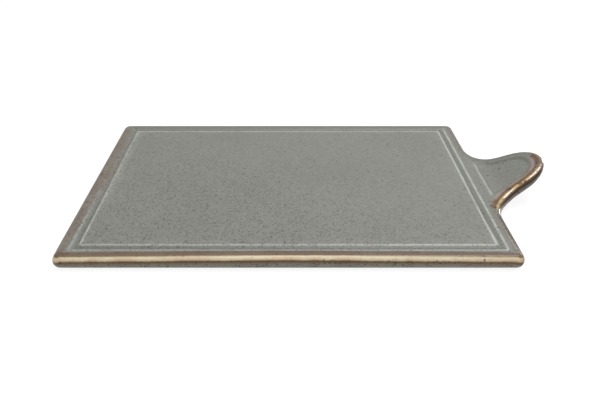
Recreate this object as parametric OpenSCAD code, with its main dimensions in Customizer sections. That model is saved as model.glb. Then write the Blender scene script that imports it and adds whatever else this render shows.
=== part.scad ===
// Rectangular stoneware cheese plate with a raised tongue handle.
// X runs along the length with the handle at the +X end, Y runs from front to back, Z is up.
// The origin lies at table height, under the middle of the whole length.

/* [Plate] */
// Length of the rectangular plate, without the handle
plate_length = 285; // [230:1:345]
// Depth of the plate from front to back
plate_depth = 200; // [160:1:260]
// Height of the serving face above the table
plate_height = 9.3; // [7:0.1:12]
// Plan radius of the outer corners
corner_radius = 6; // [5.5:0.5:10]

/* [Edge] */
// Height of the widest line of the edge above the table
edge_height = 4.4; // [3.5:0.1:6]
// How far the edge rounds inward above its widest line
edge_top_round = 4.2; // [2:0.1:5]
// How far the edge rounds inward below its widest line
edge_low_round = 2; // [1.5:0.1:4]

/* [Handle] */
// Reach of the handle past the plate's edge
handle_reach = 40.5; // [32:0.5:60]
// Plan radius of the handle's tip
tip_radius = 23.8; // [20:0.1:30]
// Angle by which each side of the handle spreads towards the plate
side_splay = 21; // [12:1:32]
// Plan radius of the hollow corner between the handle and the plate
root_radius = 30; // [18:0.2:34]
// Distance inside the plate's edge at which the handle starts to rise
rise_inset = 3; // [0:0.5:7]
// Distance over which the handle bends up to its full slope
rise_run = 16.5; // [12:0.5:30]
// Full slope of the handle
rise_angle = 29; // [10:1:34]

/* [Groove] */
// Width of the flat band between the plate's edge and the groove
band_width = 9; // [7.1:0.1:14]
// Width of the groove that frames the serving field
groove_width = 5.3; // [3:0.1:8]
// Depth of the groove
groove_depth = 0.9; // [0.3:0.1:1.6]
// Plan radius of the groove's corners
groove_corner = 1.6; // [0.8:0.1:3]

/* [Thumb recess] */
// Width of the rim left round the recess on the handle
recess_margin = 8; // [7:0.1:10]
// Distance from the plate's edge to the straight end of the recess
recess_root = 0.2; // [0:0.1:3]
// Depth of the recess
recess_depth = 1.2; // [0.5:0.1:2]
// Run of the recess's sloping wall
recess_wall = 2.2; // [1.5:0.1:2.6]
// How far the corners at the recess's straight end are drawn in
recess_corner = 6; // [4:0.5:9]

/* [Foot] */
// Distance from the plate's edge to the foot ring
foot_margin = 20; // [14:0.5:40]
// Width of the bare foot ring
foot_width = 5; // [3:0.5:10]
// Height of the foot ring below the underside
foot_height = 1.4; // [0.8:0.1:2.5]
// Outer plan radius of the foot ring's corners
foot_corner = 12; // [11:0.5:25]

/* [Glaze] */
// Thickness of every glaze coat
glaze = 0.5; // [0.3:0.05:0.8]
// Strip beside the foot ring that is wiped free of glaze
wiped_strip = 1.2; // [0.6:0.1:3]

/* [Hidden] */

// Arc steps of the facets in plan, round the edge and across the flat parts
tip_steps = 8;
side_steps = 3;
root_steps = 6;
corner_steps = 5;
edge_steps = 12;
groove_steps = 6;
panel_steps = 7;
under_steps = 6;
// Share of the way from the groove to the edge at which the steps beside the recess start
beside_recess = 0.5;
// Straight side that is left between the tip and the hollow corner of a short handle
side_kept = 2;
// Smoothness of the foot ring's true arcs
$fn = 64;
// How far the foot ring is sunk into the slab that carries it
foot_overlap = 1;

// Zones of the outline, which decide where a station lies on the rectangles inside it
RECESS_ZONE = 0;
ROOT_ZONE = 1;
RIGHT_CORNER = 2;
LEFT_CORNER = 3;

right_edge = (plate_length - handle_reach) / 2;
left_edge = right_edge - plate_length;
half_depth = plate_depth / 2;

// Centre of the handle's tip, outward direction of its side, and the side's run to the plate's edge
tip_centre = [right_edge + handle_reach - tip_radius, 0];
side_normal = [sin(side_splay), cos(side_splay)];
side_start = tip_centre + tip_radius * side_normal;
side_run = (side_start.x - right_edge) / cos(side_splay);
// The hollow corner, no larger than the side leaves room for
hollow_radius = min(root_radius, (side_run - side_kept) / tan((90 - side_splay) / 2));
root_x = right_edge + hollow_radius;
root_y = (tip_radius + hollow_radius - side_normal.x * (root_x - tip_centre.x)) / side_normal.y;
root_centre = [root_x, root_y];
side_end = root_centre - hollow_radius * side_normal;

function mix(a, b, share) = a + (b - a) * share;
function reverse(list) = [for (k = [len(list) - 1:-1:0]) list[k]];

// A station is a point on the widest outline, the outward direction there, and its zone
function arc_stations(centre, radius, outward, from, to, steps, zone) = [
  for (k = [0:steps])
    let (angle = mix(from, to, k / steps), ray = [cos(angle), sin(angle)])
      [centre + radius * ray, outward * ray, zone]
];
function side_stations() = [
  for (k = [1:side_steps])
    [mix(side_start, side_end, k / side_steps), side_normal, RECESS_ZONE]
];
function root_stations() = [
  for (k = [1:root_steps])
    arc_stations(root_centre, hollow_radius, -1, 270 - side_splay, 180, root_steps, ROOT_ZONE)[k]
];
function corner_stations(x, from, zone) =
  arc_stations([x, half_depth - corner_radius], corner_radius, 1, from, from + 90, corner_steps, zone);

// Back half of the outline, from the handle's tip round to the left edge
back_half = concat(
  arc_stations(tip_centre, tip_radius, 1, 0, 90 - side_splay, tip_steps, RECESS_ZONE),
  side_stations(),
  root_stations(),
  corner_stations(right_edge - corner_radius, 0, RIGHT_CORNER),
  corner_stations(left_edge + corner_radius, 90, LEFT_CORNER)
);
front_half = [for (s = reverse(back_half)) [[s[0].x, -s[0].y], [s[1].x, -s[1].y], s[2]]];
// The tip's station closes the front half and is left out of the back half
stations = concat(front_half, [for (k = [1:len(back_half) - 1]) back_half[k]]);
count = len(stations);

// Height that the handle gains at a place along the length
function rise(x) =
  let (run = x - right_edge + rise_inset)
    run <= 0 ? 0
    : run < rise_run ? run * run / rise_run / 2 * tan(rise_angle)
    : (run - rise_run / 2) * tan(rise_angle);
function lifted(point, level) = [point.x, point.y, level + rise(point.x)];

// Ring of the rounded edge: -90 is under the edge, 0 its widest line, 90 its top
function edge_ring(angle, depth) =
  let (
    rounding = angle < 0 ? edge_low_round : edge_top_round,
    span = angle < 0 ? edge_height - foot_height : plate_height - edge_height,
    inset = rounding * (1 - cos(angle)) + depth * cos(angle),
    level = edge_height + (span - depth) * sin(angle)
  )
    [for (s = stations) lifted(s[0] - inset * s[1], level)];

// Where a station lies on the rounded rectangle that is set in from the plate's edges
function rectangle_point(s, margin, radius) =
  let (
    inner_y = (half_depth - margin - radius) * sign(s[0].y),
    inner_x = s[2] == RIGHT_CORNER ? right_edge - margin - radius : left_edge + margin + radius
  )
    s[2] < RIGHT_CORNER ? [right_edge - margin, s[0].y] : [inner_x, inner_y] + radius * s[1];
function rectangle_ring(margin, radius, level) =
  [for (s = stations) concat(rectangle_point(s, margin, radius), level)];

// How much wider the recess is at a place along its root than at the end of the handle's side,
// so that it follows the hollow corners at that offset inside the outline
function root_flare(offset, x) =
  (root_y - sqrt(pow(hollow_radius + offset, 2) - pow(root_x - x, 2)))
    / (side_end - offset * side_normal).y;
straight_end = right_edge + recess_root;
floor_end = straight_end + recess_wall;
floor_margin = recess_margin + recess_wall;
rim_flare = root_flare(recess_margin, straight_end + recess_corner);
floor_flare = root_flare(floor_margin, floor_end + recess_corner);

// Plan place of one step across the handle's top, from the recess's straight end to its rim
function recess_point(s, step) =
  let (
    rim = s[0] - recess_margin * s[1],
    foot = s[0] - floor_margin * s[1]
  )
    step == 1 ? [straight_end, rim.y * rim_flare]
    : step == panel_steps ? rim
    : mix([floor_end, foot.y * floor_flare], foot, (step - 2) / (panel_steps - 3));
function panel_point(s, step, depth) =
  let (
    inner = rectangle_point(s, band_width, groove_corner),
    outer = s[0] - edge_top_round * s[1],
    sunk = s[2] == RECESS_ZONE && step > 1 && step < panel_steps ? recess_depth : 0,
    plain = mix(inner, outer, mix(beside_recess, 1, (step - 1) / panel_steps))
  )
    lifted(s[2] == RECESS_ZONE ? recess_point(s, step) : plain, plate_height - depth - sunk);
function panel_ring(step, depth) = [for (s = stations) panel_point(s, step, depth)];

// Ring of the underside between the glaze's inner line at the foot and the edge
foot_line = foot_margin - wiped_strip;
function under_ring(step, depth) = [
  for (s = stations)
    let (
      inner = rectangle_point(s, foot_line, foot_corner),
      outer = s[0] - edge_low_round * s[1]
    )
      lifted(mix(inner, outer, step / under_steps), foot_height + depth)
];
function groove_ring(step, depth) =
  let (across = step / groove_steps)
    rectangle_ring(
      band_width + groove_width * across,
      groove_corner,
      plate_height - depth - groove_depth * sin(180 * across)
    );

// The skin in three runs of rings, at a depth below the outside of the glaze
function under_run(depth) = [for (k = [0:under_steps]) under_ring(k, depth)];
function edge_run(depth) = [for (k = [0:edge_steps]) edge_ring(mix(-90, 90, k / edge_steps), depth)];
function top_run(depth) = concat(
  [edge_ring(90, depth)],
  [for (k = [panel_steps:-1:1]) panel_ring(k, depth)],
  [for (k = [0:groove_steps]) groove_ring(k, depth)]
);
function without_first(list) = [for (k = [1:len(list) - 1]) list[k]];

// Triangles between two rings; turned ones share their diagonals with the surface they lie on
function strip(low, high, turned) = [
  for (i = [0:count - 1])
    let (
      next = (i + 1) % count,
      a = low * count + i,
      b = low * count + next,
      c = high * count + next,
      d = high * count + i
    )
      each turned ? [[a, d, b], [b, d, c]] : [[a, d, c], [a, c, b]]
];

// Solid between rings, capped at both ends; rings before first_outer run the other way
module capped_skin(rings, first_outer) {
  last = len(rings) - 1;
  sides = [for (k = [0:last - 1]) each strip(k, k + 1, k < first_outer)];
  start_cap = [for (i = [0:count - 1]) i];
  end_cap = [for (i = [count:-1:1]) last * count + i % count];
  polyhedron([for (ring = rings) each ring], concat(sides, [start_cap, end_cap]));
}

// Coat that runs round the plate as a closed band, outside rings first
module band_skin(outer, inner) {
  rings = concat(outer, reverse(inner));
  last = len(rings) - 1;
  sides = [for (k = [0:last - 1]) each strip(k, k + 1, k >= len(outer))];
  polyhedron([for (ring = rings) each ring], concat(sides, strip(last, 0, false)));
}

module rounded_rectangle(margin, radius) {
  size = [plate_length - 2 * margin, plate_depth - 2 * margin];
  translate([left_edge + margin, margin - half_depth]) {
    translate([radius, 0])
      square([size.x - 2 * radius, size.y]);
    translate([0, radius])
      square([size.x, size.y - 2 * radius]);
    for (x = [radius, size.x - radius], y = [radius, size.y - radius])
      translate([x, y])
        circle(radius);
  }
}

module foot_ring() {
  linear_extrude(foot_height + glaze + foot_overlap)
    difference() {
      rounded_rectangle(foot_margin, foot_corner);
      rounded_rectangle(foot_margin + foot_width, foot_corner - foot_width);
    }
}

module stoneware_body() {
  color("tan") {
    capped_skin(
      concat(under_run(glaze), without_first(edge_run(glaze)), without_first(top_run(glaze))),
      0
    );
    foot_ring();
  }
}

module top_glaze() {
  color("slategray")
    capped_skin(concat(reverse(top_run(glaze)), top_run(0)), len(top_run(glaze)) - 1);
}

module rim_glaze() {
  color("peru")
    band_skin(edge_run(0), edge_run(glaze));
}

module under_glaze() {
  color("dimgray")
    band_skin(under_run(0), under_run(glaze));
}

module well_glaze() {
  margin = foot_margin + foot_width + wiped_strip;
  color("gray")
    translate([0, 0, foot_height])
      linear_extrude(glaze)
        rounded_rectangle(margin, foot_corner - foot_width - wiped_strip);
}

stoneware_body();
top_glaze();
rim_glaze();
under_glaze();
well_glaze();
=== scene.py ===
"""Looks of a rectangular stoneware cheese plate with a raised tongue handle.

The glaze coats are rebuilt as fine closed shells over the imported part's own outline. Sizes are
worked out in millimetres, as in the part's source, and scaled to metres when a mesh is made.
"""
import math

import bpy
import numpy as np
from mathutils import Matrix, Vector


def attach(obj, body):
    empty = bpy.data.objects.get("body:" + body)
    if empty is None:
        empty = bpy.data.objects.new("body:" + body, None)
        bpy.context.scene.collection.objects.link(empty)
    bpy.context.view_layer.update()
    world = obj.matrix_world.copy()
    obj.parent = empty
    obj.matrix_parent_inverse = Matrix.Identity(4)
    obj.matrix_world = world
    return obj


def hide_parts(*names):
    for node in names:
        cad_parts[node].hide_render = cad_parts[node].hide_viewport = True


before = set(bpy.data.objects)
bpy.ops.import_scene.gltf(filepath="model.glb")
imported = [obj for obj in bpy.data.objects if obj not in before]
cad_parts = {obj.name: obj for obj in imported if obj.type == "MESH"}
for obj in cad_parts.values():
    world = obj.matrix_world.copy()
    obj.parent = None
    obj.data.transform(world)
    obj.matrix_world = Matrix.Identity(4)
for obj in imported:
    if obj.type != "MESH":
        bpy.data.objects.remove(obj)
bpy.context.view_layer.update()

MM = 0.001

# Sizes of the part
PLATE_LENGTH = 285.0
PLATE_DEPTH = 200.0
PLATE_HEIGHT = 9.3
CORNER_RADIUS = 6.0
EDGE_HEIGHT = 4.4
EDGE_TOP_ROUND = 4.2
EDGE_LOW_ROUND = 2.0
HANDLE_REACH = 40.5
TIP_RADIUS = 23.8
SIDE_SPLAY = math.radians(21.0)
ROOT_RADIUS = 30.0
RISE_INSET = 3.0
RISE_RUN = 16.5
RISE_SLOPE = math.tan(math.radians(29.0))
BAND_WIDTH = 9.0
GROOVE_WIDTH = 5.3
GROOVE_DEPTH = 0.9
GROOVE_CORNER = 1.6
RECESS_MARGIN = 8.0
RECESS_ROOT = 0.2
RECESS_DEPTH = 1.2
RECESS_WALL = 2.2
FOOT_MARGIN = 20.0
FOOT_WIDTH = 5.0
FOOT_HEIGHT = 1.4
FOOT_CORNER = 12.0
GLAZE = 0.5
WIPED_STRIP = 1.2

# Fineness of the shells
TIP_STEPS = 30
ROOT_STEPS = 24
CORNER_STEPS = 10
STATION_STEP = 5.0
EDGE_STEPS = 48
BAND_STEPS = 14
HANDLE_STEPS = 64
GROOVE_STEPS = 32
FIELD_STEPS = 16
UNDER_STEPS = 32
UNDER_CROWDING = 0.6
WELL_STEPS = 12
WELD = 1e-4

# Softness that the glaze gives to the pressed lines and to the borders of a coat
LINE_SOFTNESS = 0.4
SOFTNESS_REACH = 3.0
SOFTNESS_SAMPLES = 25
LIP_REACH = 1.5
RECESS_LIP = 0.4
RECESS_CORNER = 10.0
COAT_EASE = 0.9

# Unevenness of the fired surface: its height, and the length per radian of each wave
WOBBLE = 0.02
LONG_WAVE, SWAY_WAVE, SWAY = 23.0, 31.0, 1.3
CROSS_WAVE, DRIFT_WAVE = 19.0, 47.0
SHORT_WAVE = 11.0

RIGHT_EDGE = (PLATE_LENGTH - HANDLE_REACH) / 2
LEFT_EDGE = RIGHT_EDGE - PLATE_LENGTH
PLATE_MIDDLE = (RIGHT_EDGE + LEFT_EDGE) / 2
HALF_DEPTH = PLATE_DEPTH / 2
STRAIGHT_END = RIGHT_EDGE + RECESS_ROOT
SIDE_NORMAL = np.array([math.sin(SIDE_SPLAY), math.cos(SIDE_SPLAY)])
SIDE_ALONG = np.array([-math.cos(SIDE_SPLAY), math.sin(SIDE_SPLAY)])
TIP_CENTRE = np.array([RIGHT_EDGE + HANDLE_REACH - TIP_RADIUS, 0.0])
ROOT_X = RIGHT_EDGE + ROOT_RADIUS
ROOT_Y = (TIP_RADIUS + ROOT_RADIUS - SIDE_NORMAL[0] * (ROOT_X - TIP_CENTRE[0])) / SIDE_NORMAL[1]
ROOT_CENTRE = np.array([ROOT_X, ROOT_Y])
SIDE_START = TIP_CENTRE + TIP_RADIUS * SIDE_NORMAL
SIDE_LENGTH = float(np.dot(ROOT_CENTRE - ROOT_RADIUS * SIDE_NORMAL - SIDE_START, SIDE_ALONG))

HANDLE_ZONE, ROOT_ZONE, RIGHT_CORNER, LEFT_CORNER = range(4)


def mix(a, b, share):
    return a + (b - a) * share


def smoothstep(low, high, value):
    t = np.clip((value - low) / (high - low), 0.0, 1.0)
    return t * t * (3.0 - 2.0 * t)


def bell(distance, width):
    return np.exp(-((distance / width) ** 2))


# The outline: knots with an outward direction and a zone, and stations at even steps between them
def arc_knots(centre, radius, outward, start, end, steps, zone):
    angle = np.linspace(start, end, steps + 1)
    ray = np.stack([np.cos(angle), np.sin(angle)], axis=1)
    return centre + radius * ray, outward * ray, np.full(steps + 1, zone)


def back_half():
    quarter = math.pi / 2
    corner_y = HALF_DEPTH - CORNER_RADIUS
    right = np.array([RIGHT_EDGE - CORNER_RADIUS, corner_y])
    left = np.array([LEFT_EDGE + CORNER_RADIUS, corner_y])
    tip_end = quarter - SIDE_SPLAY
    runs = [
        arc_knots(TIP_CENTRE, TIP_RADIUS, 1, 0.0, tip_end, TIP_STEPS, HANDLE_ZONE),
        arc_knots(ROOT_CENTRE, ROOT_RADIUS, -1, math.pi + tip_end, math.pi, ROOT_STEPS, ROOT_ZONE),
        arc_knots(right, CORNER_RADIUS, 1, 0.0, quarter, CORNER_STEPS, RIGHT_CORNER),
        arc_knots(left, CORNER_RADIUS, 1, quarter, math.pi, CORNER_STEPS, LEFT_CORNER),
    ]
    return [np.concatenate(values) for values in zip(*runs)]


def mirrored_loop(back):
    point, normal, zone = back
    flip = np.array([1.0, -1.0])
    return (
        np.concatenate([(point * flip)[::-1], point[1:]]),
        np.concatenate([(normal * flip)[::-1], normal[1:]]),
        np.concatenate([zone[::-1], zone[1:]]),
    )


POINT, NORMAL, ZONE = mirrored_loop(back_half())
ON_HANDLE = ZONE <= ROOT_ZONE
PIECES = np.ceil(np.linalg.norm(np.roll(POINT, -1, axis=0) - POINT, axis=1) / STATION_STEP)
PIECES = np.maximum(PIECES, 1).astype(int)
FIRST = np.repeat(np.arange(len(POINT)), PIECES)
SHARE = np.concatenate([np.arange(n) / n for n in PIECES])
STATIONS = len(FIRST)


def along(knots):
    """Spreads values given at the knots to all the stations."""
    share = SHARE.reshape(-1, *[1] * (knots.ndim - 1))
    return mix(knots[FIRST], np.roll(knots, -1, axis=0)[FIRST], share)


STATION_X, STATION_Y = along(POINT).T
FACING_X, FACING_Y = along(NORMAL).T
HANDLE_SHARE = along(ON_HANDLE.astype(float))
ON_RIGHT = HANDLE_SHARE == 1


def offset_ring(inset):
    return along(POINT - inset * NORMAL)


def rectangle_ring(margin, radius):
    """Rounded rectangle inside the plate, with its right side cut across the handle's root."""
    right_x = RIGHT_EDGE - margin - radius
    left_x = LEFT_EDGE + margin + radius
    inner_x = np.where(ZONE == RIGHT_CORNER, right_x, left_x)
    inner_y = (HALF_DEPTH - margin - radius) * np.sign(POINT[:, 1])
    corner = np.stack([inner_x, inner_y], axis=1) + radius * NORMAL
    side_y = (POINT - BAND_WIDTH * NORMAL)[:, 1]
    side = np.stack([np.full(len(POINT), RIGHT_EDGE - margin), side_y], axis=1)
    return along(np.where(ON_HANDLE[:, None], side, corner))


def middle_line(ring, margin):
    """Points of the lengthwise middle line on which a ring at a margin closes."""
    half_length = PLATE_LENGTH / 2 - margin
    half_line = half_length - (HALF_DEPTH - margin)
    x = PLATE_MIDDLE + (ring[:, 0] - PLATE_MIDDLE) * half_line / half_length
    return np.stack([x, np.zeros(STATIONS)], axis=1)


# Heights over the plan
def rise(x):
    run = np.maximum(x - RIGHT_EDGE + RISE_INSET, 0.0)
    bent = run * run / RISE_RUN / 2
    return np.where(run < RISE_RUN, bent, run - RISE_RUN / 2) * RISE_SLOPE


def groove_sink(margin):
    """Depth of the groove at a margin from the plate's edge, softened as the glaze rounds it."""
    spread = np.linspace(-SOFTNESS_REACH, SOFTNESS_REACH, SOFTNESS_SAMPLES)
    weight = np.exp(-spread * spread / 2)
    across = (np.asarray(margin)[..., None] + spread * LINE_SOFTNESS - BAND_WIDTH) / GROOVE_WIDTH
    sharp = np.sin(np.pi * np.clip(across, 0.0, 1.0))
    return GROOVE_DEPTH * (sharp * weight).sum(axis=-1) / weight.sum()


def handle_inset(plan):
    """Distance inside the outline of the handle and of its hollow corners."""
    folded = np.stack([plan[..., 0], np.abs(plan[..., 1])], axis=-1)
    from_tip = folded - TIP_CENTRE
    on_tip = from_tip @ SIDE_ALONG <= 0
    on_side = (folded - SIDE_START) @ SIDE_ALONG <= SIDE_LENGTH
    tip = TIP_RADIUS - np.linalg.norm(from_tip, axis=-1)
    side = (SIDE_START - folded) @ SIDE_NORMAL
    root = np.linalg.norm(folded - ROOT_CENTRE, axis=-1) - ROOT_RADIUS
    return np.where(on_tip, tip, np.where(on_side, side, root))


def recess_distance(plan):
    """Signed distance inside the thumb recess, with its corners rounded."""
    side = handle_inset(plan) - RECESS_MARGIN
    end = plan[..., 0] - STRAIGHT_END
    blend = np.maximum(RECESS_CORNER - np.abs(side - end), 0.0) / RECESS_CORNER
    return np.minimum(side, end) - blend * blend * RECESS_CORNER / 4


def recess_sink(distance):
    return RECESS_DEPTH * smoothstep(-RECESS_LIP, RECESS_WALL + RECESS_LIP, distance)


def wobble(plan):
    """Slight unevenness of the fired surface, always inward of the true size."""
    x, y = plan[..., 0], plan[..., 1]
    waves = [
        np.sin(x / LONG_WAVE + SWAY * np.sin(y / SWAY_WAVE)),
        np.sin(y / CROSS_WAVE - x / DRIFT_WAVE),
        np.sin((x + y) / SHORT_WAVE),
    ]
    return WOBBLE * (len(waves) + sum(waves)) / 2


# Runs of rings, each as an array of rings by stations by coordinates
def solid_ring(plan, level):
    return np.concatenate([plan, (level + rise(plan[..., 0]))[..., None]], axis=-1)


def travelled(rings):
    """Distance along each station's line of rings."""
    step = np.linalg.norm(np.diff(rings, axis=0), axis=-1)
    return np.concatenate([np.zeros((1, STATIONS)), np.cumsum(step, axis=0)])


def edge_run(depth):
    rings = []
    for angle in np.linspace(math.pi / 2, -math.pi / 2, EDGE_STEPS + 1):
        low = angle < 0
        rounding = EDGE_LOW_ROUND if low else EDGE_TOP_ROUND
        span = EDGE_HEIGHT - FOOT_HEIGHT if low else PLATE_HEIGHT - EDGE_HEIGHT
        outside = offset_ring(rounding)
        sunk = depth if depth else wobble(outside) * (1 + math.sin(angle)) / 2
        inset = rounding * (1 - math.cos(angle)) + sunk * math.cos(angle)
        plan = along(POINT) - np.reshape(inset, (-1, 1)) * along(NORMAL)
        rings.append(solid_ring(plan, EDGE_HEIGHT + (span - sunk) * math.sin(angle)))
    return np.array(rings)


def top_plan():
    """Plan rings from the top of the edge to the middle, and margins from the plate's edge."""
    outer = offset_ring(EDGE_TOP_ROUND)
    line = rectangle_ring(BAND_WIDTH, GROOVE_CORNER)
    rim = np.where(ON_RIGHT[:, None], offset_ring(BAND_WIDTH), line)
    rings, margins = [], []

    def add(plan, margin):
        rings.append(plan)
        margins.append(np.where(ON_RIGHT, RIGHT_EDGE - plan[:, 0], margin))

    for share in np.linspace(0, 1, BAND_STEPS + 1):
        add(mix(outer, rim, share), mix(EDGE_TOP_ROUND, BAND_WIDTH, share))
    for share in np.linspace(0, 1, HANDLE_STEPS + 1)[1:]:
        add(mix(rim, line, share), BAND_WIDTH)
    for share in np.linspace(0, 1, GROOVE_STEPS + 1)[1:]:
        margin = BAND_WIDTH + (GROOVE_WIDTH + LIP_REACH) * share
        add(rectangle_ring(margin, GROOVE_CORNER), margin)
    last = rings[-1]
    middle = middle_line(last, margins[-1].max())
    for share in np.linspace(0, 1, FIELD_STEPS + 1)[1:]:
        add(mix(last, middle, share), HALF_DEPTH)
    return np.array(rings), np.array(margins)


def top_run(depth, plan, margin):
    sunk = depth if depth else wobble(plan)
    level = PLATE_HEIGHT - sunk - groove_sink(margin) - recess_sink(recess_distance(plan))
    return solid_ring(plan, level)


def eased(distance):
    """Rounded thinning of a coat towards its bare border."""
    q = np.clip(distance / COAT_EASE, 0.0, 1.0)
    return GLAZE * (1 - np.sqrt(q * (2 - q)))


def under_run(depth):
    outer = offset_ring(EDGE_LOW_ROUND)
    inner = rectangle_ring(FOOT_MARGIN - WIPED_STRIP, FOOT_CORNER)
    length = np.linalg.norm(outer - inner, axis=1)
    rings = []
    for share in 1 - np.linspace(0, 1, UNDER_STEPS + 1) ** UNDER_CROWDING:
        level = FOOT_HEIGHT + (depth if depth else eased(share * length))
        rings.append(solid_ring(mix(inner, outer, share), level))
    return np.array(rings)


def well_run(depth):
    margin = FOOT_MARGIN + FOOT_WIDTH + WIPED_STRIP
    radius = FOOT_CORNER - FOOT_WIDTH - WIPED_STRIP
    rings = []
    for share in np.linspace(0, 1, WELL_STEPS + 1):
        inset = COAT_EASE * share
        plan = rectangle_ring(margin + inset, radius - inset)
        level = FOOT_HEIGHT + (depth if depth else float(eased(inset)))
        rings.append(solid_ring(plan, np.full(STATIONS, level) - rise(plan[:, 0])))
    middle = middle_line(rings[-1][:, :2], margin + COAT_EASE)
    rings.append(solid_ring(middle, np.full(STATIONS, FOOT_HEIGHT + depth)))
    return np.array(rings)


# Meshes
def shell(name, outer, inner, looped, values):
    """Closed shell between two runs of rings that start at the same border."""
    rings = np.concatenate([outer[::-1], inner])
    points = rings.reshape(-1, 3)
    _, kept, place = np.unique(
        np.round(points / WELD).astype(np.int64), axis=0, return_index=True, return_inverse=True
    )
    place = place.reshape(len(rings), STATIONS)
    seams = [len(outer) - 1] + ([len(rings) - 1] if looped else [])
    faces, flat = [], []
    for k in range(len(rings) if looped else len(rings) - 1):
        low, high = place[k], place[(k + 1) % len(rings)]
        corners = np.stack([low, np.roll(low, -1), np.roll(high, -1), high], axis=1).tolist()
        for quad in corners:
            face = [v for n, v in enumerate(quad) if v != quad[n - 1]]
            if len(set(face)) > 2 and len(set(face)) == len(face):
                faces.append(face)
                flat.append(k in seams)
    mesh = bpy.data.meshes.new(name)
    mesh.from_pydata((points[kept] * MM).tolist(), [], faces)
    mesh.polygons.foreach_set("use_smooth", np.logical_not(flat))
    for key, value in values.items():
        both = np.concatenate([value[::-1], value]).reshape(-1)[kept]
        mesh.attributes.new(key, "FLOAT", "POINT").data.foreach_set("value", both)
    mesh.update()
    piece = bpy.data.objects.new(name, mesh)
    bpy.context.scene.collection.objects.link(piece)
    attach(piece, "root")
    return piece


# Turns of the handle's outline, in degrees from +X, over which it passes into and out of its tip
TIP_FROM, TIP_FULL_FROM = -48.0, -24.0
TIP_FULL_TO, TIP_TO = 8.0, 28.0
# Sideways facing at which a hollow corner passes from the handle's side to the plate's right edge
ROOT_FROM, ROOT_FULL_FROM = 0.45, 0.15
BLURRED_STATIONS = 3


def by_direction(front=0.0, back=0.0, left=0.0, right=0.0, near=0.0, tip=0.0, far=0.0):
    """A value for each station from the side of the plate or of the handle that it faces."""
    x, y = NORMAL[:, 0], NORMAL[:, 1]
    towards_y = np.where(ON_HANDLE, np.where(y < 0, near, far), np.where(y < 0, front, back))
    towards_x = np.where(x < 0, left, np.where(ZONE == HANDLE_ZONE, tip, right))
    turn = np.degrees(np.arctan2(y, x))
    on_tip = smoothstep(TIP_FROM, TIP_FULL_FROM, turn) * smoothstep(TIP_TO, TIP_FULL_TO, turn)
    share = np.where(ZONE == HANDLE_ZONE, on_tip, x**4 / (x**4 + y**4))
    share = np.where(ZONE == ROOT_ZONE, smoothstep(ROOT_FROM, ROOT_FULL_FROM, np.abs(y)), share)
    value = along(mix(towards_y, towards_x, share))
    shifts = range(-BLURRED_STATIONS, BLURRED_STATIONS + 1)
    return np.mean([np.roll(value, k) for k in shifts], axis=0)


def around_corners(value, stations):
    """The higher values carried on past the corners where they end."""
    return np.max([np.roll(value, k) for k in range(-stations, stations + 1)], axis=0)


# Stretches of the outline where the glaze changes, by places along X or Y and by facing
CREAM_STATIONS = 5
LEFT_TURNS_BROWN = (-60.0, 0.0)
FRONT_TURNS_PALE = (0.0, 90.0)
SATIN_PLACE = 143.0
SATIN_LENGTH = 5.5
FACING_RIGHT = 0.7

front = by_direction(front=1.0)
front_corners = around_corners(front, CREAM_STATIONS)
front_right = front * smoothstep(*FRONT_TURNS_PALE, STATION_X)
front_half = along(1.0 * (POINT[:, 1] < 0))
at_left = by_direction(left=1.0)
towards_back = smoothstep(*LEFT_TURNS_BROWN, STATION_Y)
left_back = at_left * towards_back
back_and_right = (POINT[:, 1] > 0) & (NORMAL[:, 0] > FACING_RIGHT)
far_right = along(1.0 * ((ZONE >= ROOT_ZONE) & back_and_right))
near_root = along(1.0 * ((ZONE == ROOT_ZONE) & (POINT[:, 1] < 0)))
tip_turn = along(np.where(ZONE == HANDLE_ZONE, NORMAL[:, 1], -1.0))

# Breaking colours of the edge by side: 1 shows all of a colour, and below 0 it gives way to grey
FAR_RIGHT_GREYING = 0.8
NEAR_ROOT_GREYING = 0.7
BACK_SCORCH = 0.3
SCORCH_FACING = (-0.15, -0.02)
SPILL_FRONT, SPILL_BACK = 0.5, 4.5
brown = by_direction(front=1.0, back=-0.4, left=0.75, right=0.4, near=1.0, tip=0.8, far=-0.5)
brown = (brown - FAR_RIGHT_GREYING * far_right) * (1 - NEAR_ROOT_GREYING * near_root)
# Cream on the front edge only: partly the glaze's own cream and partly a painted highlight of the
# light from above
cream = front_corners
honey = by_direction(near=1.0, tip=0.15)
umber = by_direction(tip=1.0)
scorch = by_direction(right=0.8) * mix(BACK_SCORCH, 1.0, front_half)
scorch = scorch * smoothstep(*SCORCH_FACING, FACING_Y * HANDLE_SHARE)
spill = at_left * mix(SPILL_FRONT, SPILL_BACK, towards_back)

# Wetness of the edge: glossy along the handle's near side, with a satin stretch, up to its tip
ROOT_WET_FACING = (-0.02, -0.18)
SATIN_LOSS = 0.7
TIP_LOSS = 0.75
TIP_DRY_FACING = (-0.32, -0.05)
wet = by_direction(front=0.3, back=0.3, left=0.2, right=0.2, near=1.0, tip=1.0, far=0.4)
wet = np.maximum(wet, near_root * smoothstep(*ROOT_WET_FACING, FACING_Y))
wet = wet * (1 - SATIN_LOSS * honey * bell(STATION_X - SATIN_PLACE, SATIN_LENGTH))
wet = wet * (1 - TIP_LOSS * smoothstep(*TIP_DRY_FACING, tip_turn))
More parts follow.
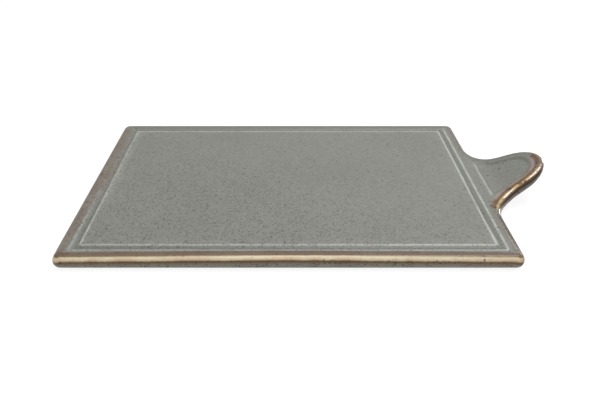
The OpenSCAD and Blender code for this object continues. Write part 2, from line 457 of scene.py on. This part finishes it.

# Pale lines where the glaze thins over the lips of the groove and the recess, partly a painted
# highlight where they are stronger towards the right
FRONT_RIGHT_PALING = 0.25
LEFT_BACK_FADING = 0.3
LEFT_BACK_WIDENING = 0.5
INNER_LINE_WIDTH = 0.75
outer_pale = by_direction(front=0.7, left=0.32, right=0.85, near=0.85, tip=0.85, far=0.85)
outer_pale = outer_pale * (1 - left_back) + FRONT_RIGHT_PALING * front_right
inner_pale = by_direction(front=0.6, back=1.1, left=0.8, right=0.85, near=0.85, tip=0.85, far=0.85)
inner_pale = inner_pale - LEFT_BACK_FADING * left_back + FRONT_RIGHT_PALING * front_right
inner_width = INNER_LINE_WIDTH + LEFT_BACK_WIDENING * left_back
lip_pale = by_direction(near=1.0, tip=1.0)

# Painted shade, darker where shade falls: in the groove's floor, on the recess's walls and along
# the back band
groove_floor_shade = by_direction(front=0.85, back=0.9, left=0.4, right=0.7, near=0.7, tip=0.7, far=0.7)
back_band_shade = by_direction(back=0.75)
recess_wall_shade = by_direction(right=0.3, near=0.1, tip=0.1, far=0.5)

# The breaking colours run lower towards both ends of the front edge, and in under the plate
FRONT_DROOP = 1.4
MIDDLE_SOFTNESS = 0.1
CORNER_DROOP = 1.6
EDGE_COLOUR_REACH = 12.0
EDGE_COLOUR_FULL = 1.0
from_middle = (STATION_X - PLATE_MIDDLE) / (PLATE_LENGTH / 2)
droop = FRONT_DROOP * np.hypot(from_middle, MIDDLE_SOFTNESS) + CORNER_DROOP * np.abs(FACING_X)
droop = droop * front_corners


def glaze_values(arc, share=1.0, **extra):
    """Values that drive the glaze: distance round the edge, where it thins, and where shade is
    painted.
    """
    plain = {"arc": arc - droop * share, "line": 0.0, "lip": 0.0, "pool": 0.0, "freckle": 1.0}
    sides = {
        "brown": brown,
        "cream": cream,
        "honey": honey,
        "umber": umber,
        "scorch": scorch,
        "wet": wet,
        "spill": spill,
    }
    sides = {key: value * share for key, value in sides.items()}
    return {key: value * np.ones_like(arc) for key, value in (plain | extra | sides).items()}


# Places of the lines beside the groove and the recess, and of the painted shade in them, with
# their widths and strengths
OUTER_LINE_PLACE, OUTER_LINE_WIDTH = 0.1, 0.7
INNER_LINE_PLACE = GROOVE_WIDTH + 0.3
FLOOR_PLACE, FLOOR_WIDTH = 0.58 * GROOVE_WIDTH, 1.5
ROOT_LINE_PLACE, ROOT_LINE_WIDTH, ROOT_LINE_PALE = -0.2, 1.0, 0.55
ROOT_WALL_PLACE, ROOT_WALL_WIDTH, ROOT_WALL_SHADE = 1.7, 1.0, 0.4
WALL_PLACE, WALL_WIDTH = RECESS_WALL / 4, 1.0
LIP_PLACE, LIP_WIDTH = -0.4, 1.1
# Distances over which the handle's lines start, reach between its sides, and the band ends
HANDLE_STARTS = (-1.0, 1.0)
BETWEEN_SIDES = (1.0, 5.0)
BAND_ENDS = (0.5, -0.5)
# Specks thin out towards the back right, along a slanting direction
SLANT_LENGTHWISE = 0.9
FRECKLE_SLANT = (1.4, -1.2)


def top_values(rings, plan, margin):
    groove = margin - BAND_WIDTH
    side = handle_inset(plan) - RECESS_MARGIN
    end = plan[..., 0] - STRAIGHT_END
    inside = recess_distance(plan)
    on_handle = smoothstep(*HANDLE_STARTS, end + LIP_REACH) * ON_RIGHT
    between_sides = smoothstep(*BETWEEN_SIDES, side) * ON_RIGHT
    outer_line = outer_pale * bell(groove - OUTER_LINE_PLACE, OUTER_LINE_WIDTH)
    inner_line = inner_pale * bell(groove - INNER_LINE_PLACE, inner_width)
    root_line = ROOT_LINE_PALE * bell(end - ROOT_LINE_PLACE, ROOT_LINE_WIDTH) * between_sides
    # Painted shade on the recess's end wall and side walls, in the groove's floor and along the
    # back band
    root_wall = ROOT_WALL_SHADE * bell(end - ROOT_WALL_PLACE, ROOT_WALL_WIDTH) * between_sides
    wall = bell(inside - WALL_PLACE, WALL_WIDTH) * recess_wall_shade * on_handle
    floor = groove_floor_shade * bell(groove - FLOOR_PLACE, FLOOR_WIDTH)
    band = back_band_shade * smoothstep(*BAND_ENDS, groove)
    lengthwise = (plan[..., 0] - PLATE_MIDDLE) / (PLATE_LENGTH / 2)
    slant = plan[..., 1] / HALF_DEPTH + SLANT_LENGTHWISE * lengthwise
    return glaze_values(
        -travelled(rings),
        line=np.max([outer_line, inner_line, root_line], axis=0),
        lip=lip_pale * bell(side - LIP_PLACE, LIP_WIDTH) * on_handle,
        pool=np.max([wall, root_wall, floor, band], axis=0),
        freckle=smoothstep(*FRECKLE_SLANT, slant),
    )


edge = edge_run(0)
top_xy, top_margin = top_plan()
top = top_run(0, top_xy, top_margin)
under = under_run(0)
well = well_run(0)
edge_arc = travelled(edge)
under_arc = edge_arc[-1] + travelled(under)
well_arc = under_arc.max() + travelled(well)
under_share = smoothstep(EDGE_COLOUR_REACH, EDGE_COLOUR_FULL, travelled(under))

top_inner = top_run(GLAZE, top_xy, top_margin)
top_drive = top_values(top, top_xy, top_margin)
edge_drive = glaze_values(edge_arc)
under_drive = glaze_values(under_arc, under_share)
well_drive = glaze_values(well_arc, 0.0)
top_piece = shell("top_coat", top, top_inner, False, top_drive)
rim_piece = shell("rim_coat", edge, edge_run(GLAZE), True, edge_drive)
under_piece = shell("under_coat", under, under_run(GLAZE), True, under_drive)
well_piece = shell("well_coat", well, well_run(GLAZE), False, well_drive)
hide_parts("top_glaze")
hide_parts("rim_glaze")
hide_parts("under_glaze")
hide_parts("well_glaze")


# Node trees
SPECK_CRISPNESS = 6.0


def linear(red, green, blue):
    """Colour written as display values from 0 to 255."""
    shown = [c / 255 for c in (red, green, blue)]
    return [c / 12.92 if c <= 0.04045 else ((c + 0.055) / 1.055) ** 2.4 for c in shown] + [1.0]


class Tree:
    """Short words for building a node tree."""

    def __init__(self, owner):
        owner.use_nodes = True
        self.nodes, self.links = owner.node_tree.nodes, owner.node_tree.links
        self.nodes.clear()

    def add(self, kind, inputs=(), **settings):
        node = self.nodes.new("ShaderNode" + kind)
        for key, value in settings.items():
            setattr(node, key, value)
        for key, value in dict(inputs).items():
            if isinstance(value, bpy.types.NodeSocket):
                self.links.new(value, node.inputs[key])
            else:
                node.inputs[key].default_value = value
        return node

    def math(self, operation, a, b=0.0, clamp=False):
        return self.add("Math", {0: a, 1: b}, operation=operation, use_clamp=clamp).outputs[0]

    def times(self, a, b):
        return self.math("MULTIPLY", a, b)

    def larger(self, a, b):
        return self.math("MAXIMUM", a, b)

    def moved(self, value, other, share=1.0):
        """A value with a share of another added."""
        return self.math("ADD", value, self.times(other, share))

    def attribute(self, name):
        return self.add("Attribute", attribute_name=name).outputs["Fac"]

    def noise(self, place, size, detail=2.0, roughness=0.5):
        inputs = {"Vector": place, "Scale": 1 / size, "Detail": detail, "Roughness": roughness}
        return self.add("TexNoise", inputs).outputs["Fac"]

    def spread(self, value, low, high, to_low=0.0, to_high=1.0):
        inputs = {0: value, 1: low, 2: high, 3: to_low, 4: to_high}
        return self.add("MapRange", inputs, interpolation_type="SMOOTHSTEP").outputs[0]

    def blend(self, share, a, b, blend_type="MIX"):
        node = self.add("Mix", {0: share, 6: a, 7: b}, data_type="RGBA", blend_type=blend_type)
        return node.outputs[2]

    def ramp(self, value, stops):
        """Colour over a value in millimetres, from a list of places and colours."""
        low, high = stops[0][0], stops[-1][0]
        share = self.add("MapRange", {0: value, 1: low, 2: high}).outputs[0]
        node = self.add("ValToRGB", {0: share})
        points = node.color_ramp.elements
        while len(points) < len(stops):
            points.new(0.5)
        for point, (place, colour) in zip(points, stops):
            point.position = (place - low) / (high - low)
            point.color = linear(*colour)
        return node.outputs[0]

    def millimetres(self):
        place = self.add("TexCoord").outputs["Object"]
        return self.add("VectorMath", {0: place, "Scale": 1 / MM}, operation="SCALE").outputs[0]

    def specks(self, place, cell, largest, rarity):
        """Round specks of mixed sizes, one in some of the cells."""
        node = self.add("TexVoronoi", {"Vector": place, "Scale": 1 / cell})
        chance = self.add("SeparateColor", {0: node.outputs["Color"]}).outputs[0]
        size = self.times(self.math("POWER", chance, rarity), largest / cell)
        depth = self.math("SUBTRACT", size, node.outputs["Distance"])
        return self.math("MULTIPLY", depth, SPECK_CRISPNESS * cell / largest, clamp=True)

    def finish(self, surface):
        self.links.new(surface, self.add("OutputMaterial").inputs["Surface"])


# Glaze colours as they show
GREY_LOW = (110, 111, 104)
GREY_HIGH = (129, 130, 123)
PALE_LINE = (190, 193, 186)
PINK_LIP = (160, 148, 144)
# Painted shade in the groove, on the recess's walls and along the back band
PAINTED_SHADE_COLOUR = (92, 94, 89)
SCORCH = (86, 64, 47)
BLOTCH = (64, 42, 26)
SPECK = (62, 61, 55)
RIM_SPECK = (52, 40, 28)
# Tints that the edge's colours are multiplied by
GRAIN_TINT = (206, 204, 196)
WARM_TINT = (214, 186, 164)
OLIVE_TINT = (196, 198, 166)

# Colours over the distance in millimetres round the edge from its top
GREY_EDGE = [
    (-5.0, (122, 123, 117)),
    (-1.0, (120, 119, 112)),
    (0.8, (118, 117, 112)),
    (2.4, (109, 108, 103)),
    (4.4, (97, 94, 88)),
    (5.8, (98, 94, 84)),
    (8.0, (92, 92, 84)),
    (12.0, (88, 88, 82)),
]
BROWN_EDGE = [
    (-9.0, (128, 125, 121)),
    (-5.0, (124, 118, 111)),
    (-3.4, (124, 115, 105)),
    (-1.4, (126, 116, 105)),
    (0.8, (128, 117, 104)),
    (2.6, (118, 104, 88)),
    (4.2, (84, 64, 45)),
    (5.6, (104, 94, 80)),
    (8.0, (98, 96, 88)),
    (12.0, (90, 90, 84)),
]
# Cream band of the front edge, partly the glaze's own cream and partly a painted highlight
CREAM_AND_HIGHLIGHT_EDGE = [
    (-5.0, (122, 112, 107)),
    (-3.9, (108, 98, 93)),
    (-2.8, (94, 79, 70)),
    (-1.7, (112, 95, 78)),
    (-0.6, (114, 93, 68)),
    (0.4, (125, 102, 71)),
    (0.9, (190, 175, 144)),
    (1.4, (224, 212, 182)),
    (2.2, (224, 211, 179)),
    (3.0, (213, 196, 165)),
    (3.55, (190, 166, 134)),
    (4.1, (100, 75, 52)),
    (4.9, (112, 91, 69)),
    (5.6, (121, 109, 91)),
    (7.0, (125, 124, 111)),
    (8.5, (119, 125, 115)),
    (12.0, (94, 95, 88)),
]
HONEY_EDGE = [
    (-5.0, (132, 120, 112)),
    (-3.6, (124, 103, 86)),
    (-2.4, (126, 96, 64)),
    (-0.9, (104, 74, 43)),
    (-0.2, (108, 79, 45)),
    (0.5, (172, 144, 91)),
    (1.1, (198, 170, 114)),
    (1.7, (186, 158, 102)),
    (2.3, (146, 119, 70)),
    (2.9, (102, 78, 43)),
    (3.4, (68, 48, 27)),
    (4.0, (54, 38, 23)),
    (4.7, (76, 60, 45)),
    (5.6, (112, 99, 92)),
    (8.0, (104, 94, 90)),
    (12.0, (90, 86, 82)),
]
UMBER_EDGE = [
    (-5.0, (134, 122, 116)),
    (-3.6, (124, 106, 96)),
    (-2.0, (112, 90, 76)),
    (-0.2, (98, 74, 57)),
    (1.5, (136, 112, 86)),
    (2.6, (146, 122, 96)),
    (3.6, (110, 86, 62)),
    (4.4, (84, 64, 46)),
    (5.6, (104, 92, 84)),
    (8.0, (100, 92, 88)),
    (12.0, (90, 86, 82)),
]

# Patterns: size in millimetres, octaves of detail and, where it isn't plain, their roughness
DRIFT = (60.0, 3.0)
WANDER = (14.0, 2.0)
CLUSTERS = (9.0, 2.0)
PATCHES = (6.0, 2.0)
MOTTLE = (5.0, 4.0, 0.7)
RAGGED = (2.6, 3.0, 0.65)
GRAIN = (2.0, 4.0, 0.65)
PEEL = (1.3, 2.0)
# Specks: size of a cell and of the largest speck in millimetres, and rarity of the large ones
FINE_SPECKS = (1.5, 0.68, 0.6)
COARSE_SPECKS = (4.4, 1.0, 1.6)
PITS = (1.9, 0.95, 0.7)

# How far in millimetres the patterns and the brown move the borders of the edge's colours
LOOSE_RAGGED = 1.8
CRISP_RAGGED = 0.5
CRISP_WANDER = 0.7
BROWN_REACH = 2.6

# Places round the edge, in millimetres from its top, over which a look starts or ends
EDGE_STARTS = (-3.6, -1.9)
SCORCH_STARTS = (-0.6, 1.2)
CREAM_STARTS, CREAM_ENDS = (0.0, 0.8), (4.2, 3.4)
PITS_START, PITS_END = (2.8, 3.7), (6.0, 4.8)
RIM_SPECKS_START = (-1.0, 1.0)
GLOSS_STARTS = (-3.0, 0.8)
COAT_STARTS, COAT_ENDS = (-1.5, 0.5), (4.4, 2.6)

# Ranges of a pattern or a share, each followed by what it turns into where that isn't 0 to 1
FIELD_TONE = (0.27, 0.73)
GRAIN_SHADE = (0.4, 0.68, 0.0, 0.6)
WARM_WANDER = (-0.12, 0.12)
WARM_BROWN = (0.0, 1.0, 0.05, 0.35)
OLIVE_MOTTLE = (0.04, 0.2, 0.0, 0.4)
BLOTCH_MOTTLE = (0.02, 0.1, 0.0, 0.7)
LINE_PATCHES = (0.25, 0.6, 0.6, 1.0)
SPECK_CLUSTERS = (0.42, 0.62)
FRECKLE_SHARE = (0.0, 1.0, 0.2, 0.7)
CREAM_FRECKLE = (0.0, 1.0, 1.0, 0.12)
COAT_WETNESS = (0.5, 0.9)
COAT_BLOTCH = (0.0, 0.6, 1.0, 0.1)
# The same for the edge's colours, after the strength of the mottle that breaks up their borders
CREAM_BORDER = (0.4, 0.25, 0.75)
HONEY_BORDER = (0.9, 0.2, 0.8)
UMBER_BORDER = (0.6, 0.3, 0.7)

# Strengths of the patterns
DRIFT_SHARE = 0.2
BROWN_MOTTLE = 0.8
PAINTED_SHADE_SHARE = 0.7
LINE_SHARE = 0.85
LIP_SHARE = 0.6
COARSE_SHARE = 0.7
PIT_SHARE = 0.85
SPECK_DENT = 0.6

# Finish of the glaze
SATIN_ROUGHNESS = 0.5
DRY_EDGE_ROUGHNESS = 0.45
WET_EDGE_ROUGHNESS = 0.1
SCORCH_ROUGHENING = 0.5
BLOTCH_ROUGHENING = 0.35
PEEL_HEIGHT = 0.08 * MM


class GlazeTree(Tree):
    """Tree with the places, patterns and borders that all parts of the glaze share."""

    def __init__(self, owner):
        super().__init__(owner)
        self.place = self.millimetres()
        self.arc = self.attribute("arc")
        self.grain = self.noise(self.place, *GRAIN)
        self.wander = self.even_noise(*WANDER)
        self.mottle = self.even_noise(*MOTTLE)
        ragged = self.even_noise(*RAGGED)
        self.loose = self.moved(self.arc, ragged, LOOSE_RAGGED)
        crisp = self.moved(self.arc, ragged, CRISP_RAGGED)
        self.crisp = self.moved(crisp, self.wander, CRISP_WANDER)
        brown = self.times(self.mottle, BROWN_MOTTLE)
        self.brown = self.math("ADD", self.attribute("brown"), brown, clamp=True)
        self.cream = self.patches("cream", *CREAM_BORDER)
        self.honey = self.patches("honey", *HONEY_BORDER)
        self.umber = self.patches("umber", *UMBER_BORDER)
        on_edge = self.spread(self.loose, *SCORCH_STARTS)
        self.scorch = self.times(self.attribute("scorch"), on_edge)
        blotched = self.larger(self.honey, self.umber)
        self.blotch = self.times(blotched, self.spread(self.mottle, *BLOTCH_MOTTLE))

    def even_noise(self, size, detail, roughness=0.5):
        return self.math("SUBTRACT", self.noise(self.place, size, detail, roughness), 0.5)

    def patches(self, name, mottle, low, high):
        """Share of a colour whose border with the next one is broken up in patches."""
        return self.spread(self.moved(self.attribute(name), self.mottle, mottle), low, high)


def field_colour(tree):
    """Fine grey grain, with painted shade in the groove, on the recess's walls and along the back
    band.
    """
    drift = tree.times(tree.noise(tree.place, *DRIFT), DRIFT_SHARE)
    tone = tree.spread(tree.moved(drift, tree.grain, 1 - DRIFT_SHARE), *FIELD_TONE)
    grey = tree.blend(tone, linear(*GREY_LOW), linear(*GREY_HIGH))
    return tree.blend(tree.times(tree.attribute("pool"), PAINTED_SHADE_SHARE), grey, linear(*PAINTED_SHADE_COLOUR))


def edge_colour(tree):
    """Colours that the glaze breaks to over the edge, each over the one before; the front's cream
    is partly a painted highlight.
    """
    loose, crisp = tree.loose, tree.crisp
    rim = tree.blend(tree.brown, tree.ramp(loose, GREY_EDGE), tree.ramp(loose, BROWN_EDGE))
    grained = tree.spread(tree.grain, *GRAIN_SHADE)
    rim = tree.blend(grained, rim, linear(*GRAIN_TINT), "MULTIPLY")
    rim = tree.blend(tree.cream, rim, tree.ramp(crisp, CREAM_AND_HIGHLIGHT_EDGE))
    rim = tree.blend(tree.honey, rim, tree.ramp(crisp, HONEY_EDGE))
    rim = tree.blend(tree.umber, rim, tree.ramp(loose, UMBER_EDGE))
    rim = tree.blend(tree.blotch, rim, linear(*BLOTCH))
    rim = tree.blend(tree.scorch, rim, linear(*SCORCH))
    warm = tree.spread(tree.wander, *WARM_WANDER)
    warm = tree.times(warm, tree.spread(tree.brown, *WARM_BROWN))
    rim = tree.blend(warm, rim, linear(*WARM_TINT), "MULTIPLY")
    olive = tree.spread(tree.mottle, *OLIVE_MOTTLE)
    return tree.blend(olive, rim, linear(*OLIVE_TINT), "MULTIPLY")


def with_lines(tree, colour):
    """Adds the pale lines along the lips, stronger in some patches."""
    patchy = tree.spread(tree.noise(tree.place, *PATCHES), *LINE_PATCHES)
    line = tree.times(tree.times(tree.attribute("line"), patchy), LINE_SHARE)
    colour = tree.blend(line, colour, linear(*PALE_LINE))
    lip = tree.times(tree.times(tree.attribute("lip"), patchy), LIP_SHARE)
    return tree.blend(lip, colour, linear(*PINK_LIP))


def speckle(tree):
    """Fine specks that are few in the cream, sparse coarse ones, and pits below the cream."""
    place, arc = tree.place, tree.arc
    freckle = tree.spread(tree.attribute("freckle"), *FRECKLE_SHARE)
    in_cream = tree.times(tree.spread(arc, *CREAM_STARTS), tree.spread(arc, *CREAM_ENDS))
    freckle = tree.times(freckle, tree.spread(in_cream, *CREAM_FRECKLE))
    fine = tree.times(tree.specks(place, *FINE_SPECKS), freckle)
    coarse = tree.times(tree.specks(place, *COARSE_SPECKS), COARSE_SHARE)
    below_cream = tree.times(tree.spread(arc, *PITS_START), tree.spread(arc, *PITS_END))
    clusters = tree.spread(tree.noise(place, *CLUSTERS), *SPECK_CLUSTERS)
    pits = tree.times(tree.specks(place, *PITS), below_cream)
    pits = tree.times(tree.times(pits, clusters), PIT_SHARE)
    return tree.larger(tree.larger(fine, coarse), pits)


def reactive_glaze(name):
    """Speckled satin grey that breaks to brown and cream where it thins over the edge, with a
    painted highlight in the front's cream band and painted shade in the hollows.
    """
    material = bpy.data.materials.new(name)
    tree = GlazeTree(material)
    reach = tree.moved(tree.loose, tree.brown, BROWN_REACH)
    reach = tree.math("ADD", reach, tree.attribute("spill"))
    on_edge = tree.spread(reach, *EDGE_STARTS)
    colour = tree.blend(on_edge, field_colour(tree), edge_colour(tree))
    colour = with_lines(tree, colour)
    speck = speckle(tree)
    on_rim = tree.spread(tree.arc, *RIM_SPECKS_START)
    colour = tree.blend(speck, colour, tree.blend(on_rim, linear(*SPECK), linear(*RIM_SPECK)))

    peel = tree.noise(tree.place, *PEEL)
    height = tree.math("SUBTRACT", peel, tree.times(speck, SPECK_DENT))
    bump = tree.add("Bump", {"Height": height, "Strength": 0.25, "Distance": PEEL_HEIGHT})
    wet = tree.attribute("wet")
    edge_roughness = tree.spread(wet, 0.0, 1.0, DRY_EDGE_ROUGHNESS, WET_EDGE_ROUGHNESS)
    roughness = tree.spread(tree.loose, *GLOSS_STARTS, SATIN_ROUGHNESS, edge_roughness)
    roughness = tree.moved(roughness, tree.scorch, SCORCH_ROUGHENING)
    dull = tree.times(tree.blotch, tree.spread(tree.loose, *GLOSS_STARTS))
    roughness = tree.moved(roughness, dull, BLOTCH_ROUGHENING)
    coat = tree.times(tree.spread(wet, *COAT_WETNESS), tree.spread(tree.loose, *COAT_STARTS))
    coat = tree.times(coat, tree.spread(tree.loose, *COAT_ENDS))
    coat = tree.times(coat, tree.spread(tree.blotch, *COAT_BLOTCH))
    surface = tree.add(
        "BsdfPrincipled",
        {
            "Base Color": colour,
            "Roughness": roughness,
            "Normal": bump.outputs[0],
            "IOR": 1.5,
            "Coat Weight": coat,
            "Coat Roughness": 0.1,
            "Coat IOR": 1.6,
        },
    )
    tree.finish(surface.outputs[0])
    return material


# Colours, patterns and shares of the bare clay, written as for the glaze
CLAY_LOW = (176, 158, 134)
CLAY_HIGH = (198, 182, 158)
CLAY_GROG = (150, 130, 106)
CLAY_SPOT = (86, 68, 52)
CLAY_CLOUDS = (18.0, 4.0, 0.6)
CLAY_GRAIN = (0.7, 3.0, 0.7)
CLAY_SPECKS = (3.4, 0.7, 2.0)
CLAY_TONE = (0.3, 0.7)
CLAY_GROG_SHARE = (0.35, 0.7, 0.0, 0.5)
CLAY_SPOT_SHARE = 0.7
CLAY_GRAIN_HEIGHT = 0.15 * MM


def bare_stoneware(name):
    """Unglazed toasted clay with grog and iron spots."""
    material = bpy.data.materials.new(name)
    tree = Tree(material)
    place = tree.millimetres()
    tone = tree.spread(tree.noise(place, *CLAY_CLOUDS), *CLAY_TONE)
    clay = tree.blend(tone, linear(*CLAY_LOW), linear(*CLAY_HIGH))
    grain = tree.noise(place, *CLAY_GRAIN)
    clay = tree.blend(tree.spread(grain, *CLAY_GROG_SHARE), clay, linear(*CLAY_GROG))
    spots = tree.times(tree.specks(place, *CLAY_SPECKS), CLAY_SPOT_SHARE)
    clay = tree.blend(spots, clay, linear(*CLAY_SPOT))
    bump = tree.add("Bump", {"Height": grain, "Strength": 0.5, "Distance": CLAY_GRAIN_HEIGHT})
    surface = tree.add(
        "BsdfPrincipled",
        {"Base Color": clay, "Roughness": 0.85, "Normal": bump.outputs[0], "IOR": 1.45},
    )
    tree.finish(surface.outputs[0])
    return material


top_piece.data.materials.append(reactive_glaze("speckled_grey_glaze"))
rim_piece.data.materials.append(reactive_glaze("breaking_rim_glaze"))
base_material = reactive_glaze("base_glaze")
under_piece.data.materials.append(base_material)
well_piece.data.materials.append(base_material)
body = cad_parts["stoneware_body"]
body.data.materials.clear()
body.data.materials.append(bare_stoneware("bare_stoneware"))

# Stage, light and camera, in metres, watts and degrees, with the lens in pixels of the photo
FLOOR_SIZE = 12.0
FLOOR_BRIGHT = 0.9
FLOOR_FADE = 3.2
FLOOR_GREY = [0.85, 0.85, 0.85, 1.0]
FLOOR_GLOW = 0.88
FLOOR_TINT = 0.2
FAR_FLOOR_LIGHT = 0.6
HORIZON_LEVEL = 0.3
ZENITH_LEVEL = 0.8
WHITE = [1.0, 1.0, 1.0, 1.0]
KEY_PLACE, KEY_SIZE, KEY_POWER = (0.3, 0.31, 1.17), (0.9, 0.62), 10.5
SIDE_PLACE, SIDE_SIZE, SIDE_POWER = (0.95, 0.81, 0.13), (0.28, 0.25), 3.1
CAMERA_PLACE = (-0.02110, -0.39609, 0.22235)
CAMERA_DIP = 30.278
IMAGE_WIDTH = 600
FOCAL_PIXELS = 612.87
PRINCIPAL_X = 287.0
SENSOR_WIDTH = 36.0


def floor_material():
    """White where the camera or a reflection sees it, fading to the world's grey far away."""
    material = bpy.data.materials.new("white_floor")
    tree = Tree(material)
    path = tree.add("LightPath").outputs
    seen = tree.larger(path["Is Camera Ray"], path["Is Glossy Ray"])
    seen = tree.larger(seen, path["Is Transmission Ray"])
    plain = tree.add("BsdfDiffuse", {"Color": FLOOR_GREY}).outputs[0]
    tint = tree.add("BsdfDiffuse", {"Color": [FLOOR_TINT] * 3 + [1.0]}).outputs[0]
    place = tree.add("TexCoord").outputs["Object"]
    distance = tree.add("VectorMath", {0: place}, operation="LENGTH").outputs["Value"]
    far_glow = HORIZON_LEVEL - FLOOR_TINT * FAR_FLOOR_LIGHT
    fade = tree.spread(distance, FLOOR_BRIGHT, FLOOR_FADE, FLOOR_GLOW, far_glow)
    glow = tree.add("Emission", {"Color": WHITE, "Strength": fade}).outputs[0]
    shown = tree.add("AddShader", {0: tint, 1: glow}).outputs[0]
    tree.finish(tree.add("MixShader", {0: seen, 1: plain, 2: shown}).outputs[0])
    return material


def make_floor():
    half = FLOOR_SIZE / 2
    mesh = bpy.data.meshes.new("floor")
    corners = [(-half, -half, 0), (half, -half, 0), (half, half, 0), (-half, half, 0)]
    mesh.from_pydata(corners, [], [(0, 1, 2, 3)])
    mesh.materials.append(floor_material())
    floor = bpy.data.objects.new("floor", mesh)
    bpy.context.scene.collection.objects.link(floor)


def make_world():
    world = bpy.data.worlds.new("studio")
    bpy.context.scene.world = world
    tree = Tree(world)
    direction = tree.add("TexCoord").outputs["Generated"]
    height = tree.add("SeparateXYZ", {0: direction}).outputs["Z"]
    level = tree.spread(height, 0.0, 1.0, HORIZON_LEVEL, ZENITH_LEVEL)
    sky = tree.add("Background", {"Color": WHITE, "Strength": level}).outputs[0]
    tree.links.new(sky, tree.add("OutputWorld").inputs["Surface"])


def softbox(name, place, size, power):
    """Rectangular lamp that faces the origin, with its width as near along X as that allows."""
    lamp = bpy.data.lights.new(name, "AREA")
    lamp.shape = "RECTANGLE"
    lamp.size, lamp.size_y = size
    lamp.energy = power
    holder = bpy.data.objects.new(name, lamp)
    bpy.context.scene.collection.objects.link(holder)
    holder.location = place
    away = holder.location.normalized()
    across = (Vector((1, 0, 0)) - away.x * away).normalized()
    holder.rotation_euler = Matrix((across, away.cross(across), away)).transposed().to_euler()


def make_camera():
    data = bpy.data.cameras.new("photo_camera")
    camera = bpy.data.objects.new("photo_camera", data)
    bpy.context.scene.collection.objects.link(camera)
    data.sensor_width = SENSOR_WIDTH
    data.lens = FOCAL_PIXELS / IMAGE_WIDTH * SENSOR_WIDTH
    data.shift_x = 0.5 - PRINCIPAL_X / IMAGE_WIDTH
    camera.location = CAMERA_PLACE
    camera.rotation_euler = (math.radians(90 - CAMERA_DIP), 0, 0)
    bpy.context.scene.camera = camera


make_floor()
make_world()
softbox("key", KEY_PLACE, KEY_SIZE, KEY_POWER)
softbox("side", SIDE_PLACE, SIDE_SIZE, SIDE_POWER)
make_camera()
bpy.context.scene.view_settings.view_transform = "Standard"
